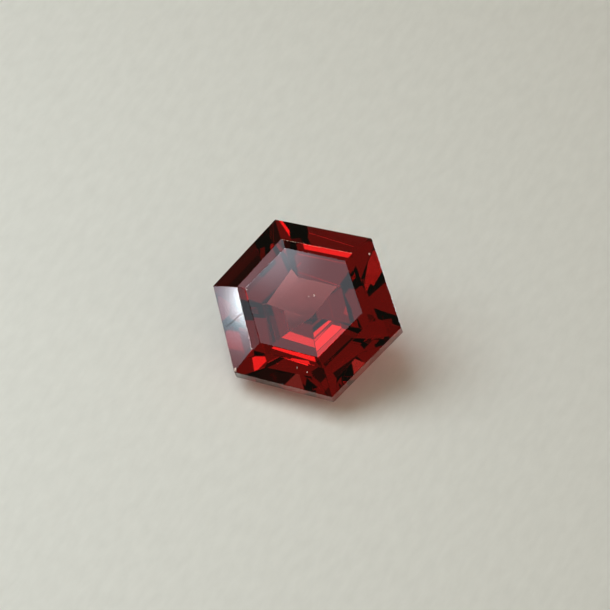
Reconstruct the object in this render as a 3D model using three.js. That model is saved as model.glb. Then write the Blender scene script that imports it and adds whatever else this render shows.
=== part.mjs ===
// A loose garnet in a hexagonal step cut, lying on one of its pavilion facets.
// Millimetres, +Z up. The stone rests with its table tipped towards -Y.

import * as THREE from 'three';
import { ConvexGeometry } from 'three/addons/geometries/ConvexGeometry.js';

// ---------------------------------------------------------------- driving dimensions

// The stone is described with its table up and its origin in the middle of the girdle.
// Its rows of facets all follow hexagons, whose sides are counted clockwise from the back.
const ACROSS_FLATS = 7.0;
const TABLE_ACROSS_FLATS = 4.35;
const CULET_ROW_ACROSS_FLATS = 1.9;

// The way side 0 of each hexagon faces, in degrees from +X towards +Y.
const GIRDLE_FACING = 96;
const TABLE_FACING = 96;
const CULET_ROW_FACING = 94;

// The sides are not quite true: how far each is turned, in degrees, and moved outwards.
const GIRDLE_TURNS = [1, 2, 0, -2, -2, 2];
const GIRDLE_SHIFTS = [-0.1, 0, 0.1, 0, 0, 0];
const TABLE_TURNS = [0, 2, 0, -2, 0, 0];
const TABLE_SHIFTS = [-0.1, 0, 0, 0, 0, 0];
const CULET_ROW_TURNS = [4, 0, 0, -4, 0, 0];
const CULET_ROW_SHIFTS = [0, 0, -0.05, -0.05, 0, 0];

// Heights from the edge where the crown meets the girdle wall.
const TABLE_LEVEL = 0.65;
const GIRDLE_FOOT_LEVEL = -0.7;
const CULET_ROW_LEVEL = -3.2;

// The pavilion's point, which is a little off centre.
const CULET_X = 0.05;
const CULET_Y = 0.05;
const CULET_LEVEL = -3.75;

// How far each row of facets leans from the plane of the girdle, in degrees.
const CROWN_OUTER_SLOPE = 32;
const CROWN_INNER_SLOPE = 7.5;
const WALL_SLOPE = 90;
const PAVILION_UPPER_SLOPE = 48;
const PAVILION_MIDDLE_SLOPE = 34.5;

// The side whose middle pavilion facet is underneath.
const RESTING_SIDE = 3;

const COLOUR = 0x6e0f1c;
const ROUGHNESS = 0.04;

// ---------------------------------------------------------------- cut planes

const radians = THREE.MathUtils.degToRad;

// A hexagon as six sides, each with the way it faces and its distance from the middle.
function hexagon(acrossFlats, facing, turns, shifts) {
  const corner = 360 / turns.length;
  return turns.map((turn, i) => ({
    facing: radians(facing - i * corner + turn),
    distance: acrossFlats / 2 + shifts[i],
  }));
}

// A point on one side of a hexagon at the given level.
function onSide(side, level) {
  const x = side.distance * Math.cos(side.facing);
  const y = side.distance * Math.sin(side.facing);
  return new THREE.Vector3(x, y, level);
}

// One row of step facets: a plane through each side of a hexagon, leaning outwards by
// `slope` from a table that faces up, or from a flat bottom that faces down.
function row(hexagonSides, level, slope, upOrDown) {
  return hexagonSides.map((side) => {
    const normal = new THREE.Vector3(Math.cos(side.facing), Math.sin(side.facing), 0);
    normal.multiplyScalar(Math.sin(radians(slope)));
    normal.z = upOrDown * Math.cos(radians(slope));
    return new THREE.Plane().setFromNormalAndCoplanarPoint(normal, onSide(side, level));
  });
}

// The last row: a plane from each side of a hexagon down to one point below it.
function rowToPoint(hexagonSides, level, point) {
  return hexagonSides.map((side) => {
    const start = onSide(side, level);
    const along = new THREE.Vector3(Math.sin(side.facing), -Math.cos(side.facing), 0);
    return new THREE.Plane().setFromCoplanarPoints(start, start.clone().add(along), point);
  });
}

const UP = 1;
const DOWN = -1;

const girdle = hexagon(ACROSS_FLATS, GIRDLE_FACING, GIRDLE_TURNS, GIRDLE_SHIFTS);
const tableOutline = hexagon(TABLE_ACROSS_FLATS, TABLE_FACING, TABLE_TURNS, TABLE_SHIFTS);
const culetOutline = hexagon(
  CULET_ROW_ACROSS_FLATS,
  CULET_ROW_FACING,
  CULET_ROW_TURNS,
  CULET_ROW_SHIFTS,
);
const culet = new THREE.Vector3(CULET_X, CULET_Y, CULET_LEVEL);

const pavilionMiddle = row(culetOutline, CULET_ROW_LEVEL, PAVILION_MIDDLE_SLOPE, DOWN);

const cuts = [
  new THREE.Plane(new THREE.Vector3(0, 0, UP), -TABLE_LEVEL),
  ...row(tableOutline, TABLE_LEVEL, CROWN_INNER_SLOPE, UP),
  ...row(girdle, 0, CROWN_OUTER_SLOPE, UP),
  ...row(girdle, 0, WALL_SLOPE, UP),
  ...row(girdle, GIRDLE_FOOT_LEVEL, PAVILION_UPPER_SLOPE, DOWN),
  ...pavilionMiddle,
  ...rowToPoint(culetOutline, CULET_ROW_LEVEL, culet),
];

// ---------------------------------------------------------------- the solid

const ON_PLANE = 1e-6;
const SAME_POINT = 1e-3;

// Where three cut planes meet, or null where two of them are parallel.
function meet(a, b, c) {
  const bc = new THREE.Vector3().crossVectors(b.normal, c.normal);
  const ca = new THREE.Vector3().crossVectors(c.normal, a.normal);
  const ab = new THREE.Vector3().crossVectors(a.normal, b.normal);
  const volume = a.normal.dot(bc);
  if (Math.abs(volume) < ON_PLANE) return null;
  return bc.multiplyScalar(-a.constant)
    .addScaledVector(ca, -b.constant)
    .addScaledVector(ab, -c.constant)
    .divideScalar(volume);
}

// The corners of the stone: every meeting of three planes that no other plane cuts away.
function corners(planes) {
  const found = [];
  planes.forEach((a, i) => planes.slice(i + 1).forEach((b, j) => {
    planes.slice(i + j + 2).forEach((c) => {
      const point = meet(a, b, c);
      if (!point) return;
      if (planes.some((plane) => plane.distanceToPoint(point) > ON_PLANE)) return;
      if (found.some((other) => other.distanceTo(point) < SAME_POINT)) return;
      found.push(point);
    });
  }));
  return found;
}

// ---------------------------------------------------------------- the part

const stone = new THREE.Mesh(
  new ConvexGeometry(corners(cuts)),
  new THREE.MeshStandardMaterial({ color: COLOUR, roughness: ROUGHNESS, metalness: 0 }),
);
stone.name = 'garnet';

// Tip the stone over until its resting facet faces straight down.
const restingFacet = pavilionMiddle[RESTING_SIDE];
stone.quaternion.setFromUnitVectors(restingFacet.normal, new THREE.Vector3(0, 0, DOWN));

const part = new THREE.Group();
part.add(stone);

// Stand the stone on the ground, centred over the origin.
part.updateMatrixWorld(true);
const extent = new THREE.Box3().setFromObject(part, true);
const centre = extent.getCenter(new THREE.Vector3());
part.position.set(-centre.x, -centre.y, -extent.min.z);

export default part;
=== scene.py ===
"""A loose red garnet in a hexagonal step cut, lying on a pale surface in soft window light."""

import math
import random

import bmesh
import bpy
from mathutils import Matrix, Vector
from mathutils.bvhtree import BVHTree


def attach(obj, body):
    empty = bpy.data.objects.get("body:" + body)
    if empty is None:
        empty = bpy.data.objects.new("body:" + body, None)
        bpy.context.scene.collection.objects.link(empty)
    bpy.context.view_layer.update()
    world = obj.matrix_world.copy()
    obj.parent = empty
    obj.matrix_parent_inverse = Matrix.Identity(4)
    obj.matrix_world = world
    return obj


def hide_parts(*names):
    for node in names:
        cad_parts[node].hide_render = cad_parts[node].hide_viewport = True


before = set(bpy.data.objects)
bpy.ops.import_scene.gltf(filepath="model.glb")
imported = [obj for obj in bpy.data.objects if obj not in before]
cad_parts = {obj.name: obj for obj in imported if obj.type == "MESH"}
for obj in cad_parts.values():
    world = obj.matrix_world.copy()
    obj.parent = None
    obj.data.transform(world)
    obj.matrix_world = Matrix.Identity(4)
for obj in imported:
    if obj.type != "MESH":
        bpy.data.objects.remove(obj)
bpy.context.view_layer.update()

MM = 0.001

# ---------------------------------------------------------------- the view

VIEW_AZIMUTH = 15.7       # degrees, from straight in front towards the stone's right
VIEW_ELEVATION = 40.2     # degrees above the ground
VIEW_ROLL = 7.9           # degrees, the camera's turn about its own axis
VIEW_DISTANCE = 250 * MM
SENSOR_WIDTH = 36.0       # the camera's own millimetres, as is its focal length
CLIP_NEAR, CLIP_FAR = 10 * MM, 10000 * MM

# The square picture's side and the box that the stone fills in it, in pixels.
FRAME_SIDE = 610
STONE_LEFT, STONE_RIGHT = 213.4, 402.5
STONE_TOP, STONE_BOTTOM = 218.3, 402.5

# ---------------------------------------------------------------- the stone

EDGE_WIDTH = 0.012        # mm, the polished-over edge between two facets
EDGE_SEGMENTS = 2
SAME_PLACE = 0.0001       # mm, between two corners of the CAD mesh that are one
SAME_FACET = 0.2          # degrees, between two triangles of one facet
REFRACTIVE_INDEX = 1.78
ABSORPTION_COLOUR = (0.86, 0.10, 0.10)
ABSORPTION_DENSITY = 540.0   # per metre
SMEAR_ROUGHNESS = 0.004   # where the polish is smeared most
SMEAR_SCALE = 900.0       # of its noise
SMEAR_START, SMEAR_FULL = 0.45, 0.75   # levels of that noise

# Specks of dust on the stone's upper side and, last, a bruise at its front left corner:
# where each one is seen from above, and how far it reaches, in millimetres.
SPECKS = (
    (0.05, -0.35, 0.03),
    (0.25, -0.25, 0.04),
    (-2.50, -0.80, 0.03),
    (1.70, 2.10, 0.05),
    (0.65, -2.70, 0.02),
    (1.10, -2.70, 0.02),
    (-1.86, -3.16, 0.10),
)
SPECK_SIDES = 9
SPECK_THICKNESS = 0.008   # mm, in its middle
SPECK_LIFT = 0.001        # mm, from the polish to its rim
SPECK_NARROWEST = 0.55    # share of its reach, where its ragged rim comes closest
SPECK_SEED = 3
RIM_TRIES = (1.0, 0.75, 0.5, 0.25, 0.0)   # how far out a rim is tried, until it meets the stone
ABOVE_STONE = 100.0       # mm, where the search for the stone's surface starts

# ---------------------------------------------------------------- dust and floor

MATT = 0.9                # roughness
DUST_DARK, DUST_LIGHT = (0.50, 0.36, 0.33), (0.85, 0.74, 0.70)
DUST_SCALE = 16000.0      # of its noise
FLOOR_DARK, FLOOR_LIGHT = (0.75, 0.735, 0.710), (0.85, 0.835, 0.810)
FLOOR_SCALE = 900.0
FLOOR_STRETCH = (3.0, 1.0, 1.0)   # its grain is finer across than along
FLOOR_HALF = 400.0        # mm
FLOOR_TOP = -0.02         # mm, the stone stands on the tips of the nap

# ---------------------------------------------------------------- node helpers


class Nodes:
    """Short names for making and linking the nodes of one tree."""

    def __init__(self, tree):
        self.tree = tree
        tree.nodes.clear()

    def add(self, kind, **inputs):
        """A new node. Its inputs have Blender's names, with "_" for each space."""
        node = self.tree.nodes.new(kind)
        for name, value in inputs.items():
            self.put(node.inputs[name.replace("_", " ")], value)
        return node

    def put(self, socket, value):
        """Link a socket to another one, or set it to a fixed value."""
        if isinstance(value, bpy.types.NodeSocket):
            self.tree.links.new(value, socket)
        else:
            socket.default_value = value

    def ramp(self, value, start, end, levels, blend="LINEAR"):
        """Goes from the first of two levels to the second as a value goes from start to end."""
        node = self.add("ShaderNodeMapRange", Value=value, From_Min=start, From_Max=end,
                        To_Min=levels[0], To_Max=levels[1])
        node.interpolation_type = blend
        return node.outputs["Result"]


def new_material(name):
    """An empty material and the means to fill it."""
    material = bpy.data.materials.new(name)
    material.use_nodes = True
    return material, Nodes(material.node_tree)


# ---------------------------------------------------------------- materials


def garnet_material():
    """Clear red crystal, darker where light goes further through it, with faint smears."""
    material, nodes = new_material("garnet")
    where = nodes.add("ShaderNodeTexCoord").outputs["Object"]
    smears = nodes.add("ShaderNodeTexNoise", Vector=where, Scale=SMEAR_SCALE, Detail=3.0)
    gloss = nodes.ramp(
        smears.outputs["Fac"], SMEAR_START, SMEAR_FULL, (0.0, SMEAR_ROUGHNESS))
    shader = nodes.add(
        "ShaderNodeBsdfPrincipled", Base_Color=(1.0, 1.0, 1.0, 1.0), Roughness=gloss,
        Transmission_Weight=1.0, IOR=REFRACTIVE_INDEX)
    depth = nodes.add(
        "ShaderNodeVolumeAbsorption", Color=(*ABSORPTION_COLOUR, 1.0),
        Density=ABSORPTION_DENSITY)
    nodes.add(
        "ShaderNodeOutputMaterial", Surface=shader.outputs[0], Volume=depth.outputs[0])
    return material


def mottled_material(name, scale, detail, dark, light, stretch=(1.0, 1.0, 1.0)):
    """A matt material whose tone wanders between a dark and a light one."""
    material, nodes = new_material(name)
    where = nodes.add("ShaderNodeTexCoord").outputs["Object"]
    combed = nodes.add("ShaderNodeMapping", Vector=where, Scale=stretch)
    grain = nodes.add(
        "ShaderNodeTexNoise", Vector=combed.outputs["Vector"], Scale=scale, Detail=detail)
    tone = nodes.add("ShaderNodeMix")
    tone.data_type = "RGBA"
    nodes.put(tone.inputs["Factor"], grain.outputs["Fac"])
    nodes.put(tone.inputs["A"], (*dark, 1.0))
    nodes.put(tone.inputs["B"], (*light, 1.0))
    shader = nodes.add(
        "ShaderNodeBsdfPrincipled", Base_Color=tone.outputs["Result"], Roughness=MATT)
    nodes.add("ShaderNodeOutputMaterial", Surface=shader.outputs[0])
    return material


# ---------------------------------------------------------------- shapes


def place_mesh(name, mesh):
    """Turn a worked mesh, in millimetres, into an object of the scene, and free it."""
    bmesh.ops.scale(mesh, vec=(MM,) * 3, verts=mesh.verts)
    data = bpy.data.meshes.new(name)
    mesh.to_mesh(data)
    mesh.free()
    thing = bpy.data.objects.new(name, data)
    bpy.context.scene.collection.objects.link(thing)
    return thing


def faceted_stone(node):
    """The CAD stone with whole facets and finely rounded edges."""
    mesh = bmesh.new()
    mesh.from_mesh(node.data)
    bmesh.ops.scale(mesh, vec=(1 / MM,) * 3, verts=mesh.verts)
    bmesh.ops.remove_doubles(mesh, verts=mesh.verts, dist=SAME_PLACE)
    bmesh.ops.dissolve_limit(
        mesh, angle_limit=math.radians(SAME_FACET), verts=mesh.verts, edges=mesh.edges)
    bmesh.ops.bevel(
        mesh, geom=list(mesh.edges), offset=EDGE_WIDTH, offset_type="OFFSET",
        segments=EDGE_SEGMENTS, profile=0.5, affect="EDGES", clamp_overlap=True)
    bmesh.ops.triangulate(mesh, faces=[f for f in mesh.faces if len(f.verts) > 4])
    bmesh.ops.recalc_face_normals(mesh, faces=mesh.faces)
    return place_mesh("garnet_stone", mesh)


def dust_on(stone):
    """Low crumbs of dust that lie on the stone's upper side."""
    surface = BVHTree.FromPolygons(
        [corner.co / MM for corner in stone.data.vertices],
        [face.vertices for face in stone.data.polygons])
    chance = random.Random(SPECK_SEED)
    down = Vector((0.0, 0.0, -1.0))
    lift = Vector((0.0, 0.0, SPECK_LIFT))
    thickness = Vector((0.0, 0.0, SPECK_THICKNESS))

    def land(x, y):
        """The place on the stone straight below (x, y), or None beside the stone."""
        return surface.ray_cast(Vector((x, y, ABOVE_STONE)), down)[0]

    def rim_place(x, y, reach, side):
        """The rim's place on one side of a speck, pulled in where it would miss the stone."""
        turn = math.tau * side / SPECK_SIDES
        far = reach * chance.uniform(SPECK_NARROWEST, 1.0)
        places = (land(x + share * far * math.cos(turn), y + share * far * math.sin(turn))
                  for share in RIM_TRIES)
        return next(place for place in places if place)

    mesh = bmesh.new()
    for x, y, reach in SPECKS:
        middle = land(x, y) + lift
        under = mesh.verts.new(middle)
        crest = mesh.verts.new(middle + thickness)
        rim = [mesh.verts.new(rim_place(x, y, reach, side) + lift)
               for side in range(SPECK_SIDES)]
        for here, after in zip(rim, rim[1:] + rim[:1]):
            mesh.faces.new((crest, here, after))
            mesh.faces.new((under, after, here))
    return place_mesh("garnet_dust", mesh)


def flat_floor():
    """A square floor on which the stone stands."""
    mesh = bmesh.new()
    bmesh.ops.create_grid(mesh, x_segments=1, y_segments=1, size=FLOOR_HALF)
    bmesh.ops.translate(mesh, vec=(0.0, 0.0, FLOOR_TOP), verts=mesh.verts)
    return place_mesh("floor", mesh)


stone = faceted_stone(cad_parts["garnet"])
stone.data.materials.append(garnet_material())
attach(stone, "root")
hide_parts("garnet")

dust = dust_on(stone)
dust.data.materials.append(mottled_material(
    "garnet_dust", scale=DUST_SCALE, detail=2.0, dark=DUST_DARK, light=DUST_LIGHT))
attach(dust, "root")

floor = flat_floor()
floor.data.materials.append(mottled_material(
    "floor", scale=FLOOR_SCALE, detail=6.0, dark=FLOOR_DARK, light=FLOOR_LIGHT,
    stretch=FLOOR_STRETCH))

# ---------------------------------------------------------------- light

LIGHT_DISTANCE = 600 * MM
DAYLIGHT = (0.97, 0.99, 1.0)
COOL = (0.80, 0.91, 0.94)
HAZE = (0.85, 0.89, 1.0)
SKY_BLUE = (0.64, 0.87, 1.0)
ROOM = (1.0, 0.87, 0.64)

# Where the room's light changes, on its way from -1, in front or at the left, to 1.
ROOM_FRONT_TO_BACK = (-0.3, 0.5)
ROOM_LEFT_TO_RIGHT = (-0.05, 0.35)

# The glints on the rounded edges and the bright patches inside the stone. For each light:
# azimuth, elevation, width and height in degrees, radiance and, for a glint, colour.
GLINTS = {
    "left_edge": (-54, 32, 10, 30, 14.0, DAYLIGHT),
    "table_edge": (-48, 65, 8, 8, 8.0, HAZE),
    "back_edge": (-130, 64, 16, 18, 3.5, ROOM),
    "right_edge": (138, 29, 14, 14, 10.0, HAZE),
}
SPOTS = {
    "spot_right": (6, 71, 3.5, 3, 2.3),      # the bar at the table's lower right
    "spot_side": (45, 53, 4, 4, 1.5),        # the outer side of that bar
    "spot_left": (-2, 62, 4, 3, 1.5),        # the bar to its left
    "spot_below": (0, 55, 5, 5, 2.1),        # the bar below the table
    "spot_above": (-35, 84, 4, 3, 2.6),      # the lower side of that bar
    "spot_top": (-21, 73, 4, 3, 1.8),        # the bar above the table and the patch at the left
    "spot_back": (160, 4, 12, 8, 3.0),       # the patch at the top left
    "spot_corner": (-28.8, 69.2, 2.6, 2.6, 0.35),   # the lower end of the left facet
}


def direction(azimuth, elevation):
    """The way to a place seen from the stone. Azimuth 0 is in front of it, 90 its right."""
    a, e = math.radians(azimuth), math.radians(elevation)
    return Vector((math.sin(a) * math.cos(e), -math.cos(a) * math.cos(e), math.sin(e)))


def softbox(name, azimuth, elevation, wide, high, radiance, lights,
            distance=LIGHT_DISTANCE, colour=(1.0, 1.0, 1.0)):
    """A rectangular light that faces the stone, `wide` by `high` degrees as seen from it.

    `lights` says what it lights: the ground, the stone's polish or the stone's inside.
    """
    data = bpy.data.lights.new(name, "AREA")
    data.shape = "RECTANGLE"
    data.size = 2 * distance * math.tan(math.radians(wide / 2))
    data.size_y = 2 * distance * math.tan(math.radians(high / 2))
    data.color = colour
    data.energy = radiance * data.size * data.size_y * math.pi
    light = bpy.data.objects.new(name, data)
    away = direction(azimuth, elevation)
    light.location = away * distance
    light.rotation_mode = "QUATERNION"
    light.rotation_quaternion = away.to_track_quat("Z", "Y")
    light.visible_camera = False
    light.visible_diffuse = lights == "ground"
    light.visible_glossy = lights == "polish"
    light.visible_transmission = lights == "inside"
    bpy.context.scene.collection.objects.link(light)
    return light


def fade(light, middle, reach):
    """Make a light brightest at `middle` of its face and let it fade over `reach` of it."""
    light.data.use_nodes = True
    nodes = Nodes(light.data.node_tree)
    place = nodes.add("ShaderNodeNewGeometry").outputs["Parametric"]
    away = nodes.add("ShaderNodeVectorMath")
    away.operation = "DISTANCE"
    nodes.put(away.inputs[0], place)
    nodes.put(away.inputs[1], (*middle, 0.0))
    glow = nodes.ramp(away.outputs["Value"], 0.0, reach, (1.0, 0.0), "SMOOTHERSTEP")
    lamp = nodes.add("ShaderNodeEmission", Strength=glow)
    nodes.add("ShaderNodeOutputLight", Surface=lamp.outputs[0])


def make_world(ground, polish, inside, colour):
    """The room's own light, as the ground, the stone's polish and its inside receive it.

    The ground gets the first of its two strengths from the front and the second from
    behind, and the stone's inside gets its two from the left and from the right. Between
    them each strength changes gently.
    """
    world = bpy.data.worlds.new("room")
    world.use_nodes = True
    nodes = Nodes(world.node_tree)
    way = nodes.add("ShaderNodeTexCoord").outputs["Generated"]
    parts = nodes.add("ShaderNodeSeparateXYZ", Vector=way)

    front_to_back = nodes.ramp(
        parts.outputs["Y"], *ROOM_FRONT_TO_BACK, ground, "SMOOTHSTEP")
    left_to_right = nodes.ramp(
        parts.outputs["X"], *ROOM_LEFT_TO_RIGHT, inside, "SMOOTHSTEP")
    ray = nodes.add("ShaderNodeLightPath")
    outside = nodes.add("ShaderNodeMix", Factor=ray.outputs["Is Glossy Ray"])
    nodes.put(outside.inputs["A"], front_to_back)
    nodes.put(outside.inputs["B"], polish)
    strength = nodes.add("ShaderNodeMix", Factor=ray.outputs["Is Transmission Ray"])
    nodes.put(strength.inputs["A"], outside.outputs["Result"])
    nodes.put(strength.inputs["B"], left_to_right)
    sky = nodes.add(
        "ShaderNodeBackground", Color=(*colour, 1.0), Strength=strength.outputs["Result"])
    nodes.add("ShaderNodeOutputWorld", Surface=sky.outputs[0])
    bpy.context.scene.world = world


# The light on the ground, and the room's own dim light.
softbox("key", -66, 58, 50, 45, 3.1, "ground", 90 * MM, COOL)
make_world(ground=(0.56, 0.05), polish=0.05, inside=(0.24, 0.02), colour=ROOM)

# The window that the left facet mirrors: its middle, its bluer border and the haze round it.
window = softbox("window", -66.1, 10.9, 1.25, 1.25, 20.0, "polish", colour=DAYLIGHT)
fade(window, (0.5, 0.5), 0.5)
window_edge = softbox("window_edge", -66.15, 10.9, 2.2, 2.2, 5.0, "polish", colour=SKY_BLUE)
fade(window_edge, (0.5, 0.5), 0.5)
softbox("window_haze", -66, 10, 3, 3, 0.9, "polish", colour=HAZE)

# The grey sheen on the table and the glow at its left side. The glow stands a little nearer,
# because of two lights in the same place only one would be seen.
table_panel = softbox("table_panel", -31, 67, 4, 4, 1.05, "polish", colour=HAZE)
fade(table_panel, (0.25, 0.5), 1.2)
table_glow = softbox("table_glow", -31, 67, 4, 4, 2.0, "polish", 590 * MM, HAZE)
fade(table_glow, (0.25, 0.48), 0.22)

# The sheen on the two facets at the left of the table.
softbox("upper_left_panel", -65.7, 62, 3, 3, 1.2, "polish", colour=HAZE)
softbox("left_panel", -43, 53, 3, 3, 0.6, "polish", colour=HAZE)

for name, (*shape, colour) in GLINTS.items():
    softbox(name, *shape, "polish", colour=colour)
for name, shape in SPOTS.items():
    softbox(name, *shape, "inside")

# ---------------------------------------------------------------- camera


def make_camera(stone):
    """Make the scene's camera, placed so that the stone fills its box of the frame."""
    camera = bpy.data.objects.new("camera", bpy.data.cameras.new("camera"))
    bpy.context.scene.collection.objects.link(camera)
    back = direction(VIEW_AZIMUTH, VIEW_ELEVATION)
    level = back.to_track_quat("Z", "Y").to_matrix()
    turn = level @ Matrix.Rotation(math.radians(VIEW_ROLL), 3, "Z")
    right, up = turn.col[0], turn.col[1]
    across = [right.dot(v.co) for v in stone.data.vertices]
    upwards = [up.dot(v.co) for v in stone.data.vertices]
    pixel = (max(across) - min(across)) / (STONE_RIGHT - STONE_LEFT)
    off_right = (STONE_LEFT + STONE_RIGHT) / 2 - FRAME_SIDE / 2
    off_down = (STONE_TOP + STONE_BOTTOM) / 2 - FRAME_SIDE / 2
    aim = right * ((max(across) + min(across)) / 2 - off_right * pixel)
    aim += up * ((max(upwards) + min(upwards)) / 2 + off_down * pixel)
    depths = [back.dot(v.co) for v in stone.data.vertices]
    aim += back * (max(depths) + min(depths)) / 2
    camera.rotation_mode = "QUATERNION"
    camera.rotation_quaternion = turn.to_quaternion()
    camera.location = aim + back * VIEW_DISTANCE
    camera.data.sensor_width = SENSOR_WIDTH
    camera.data.lens = SENSOR_WIDTH * VIEW_DISTANCE / (FRAME_SIDE * pixel)
    camera.data.clip_start = CLIP_NEAR
    camera.data.clip_end = CLIP_FAR
    bpy.context.scene.camera = camera


make_camera(stone)
bpy.context.scene.view_settings.view_transform = "Standard"
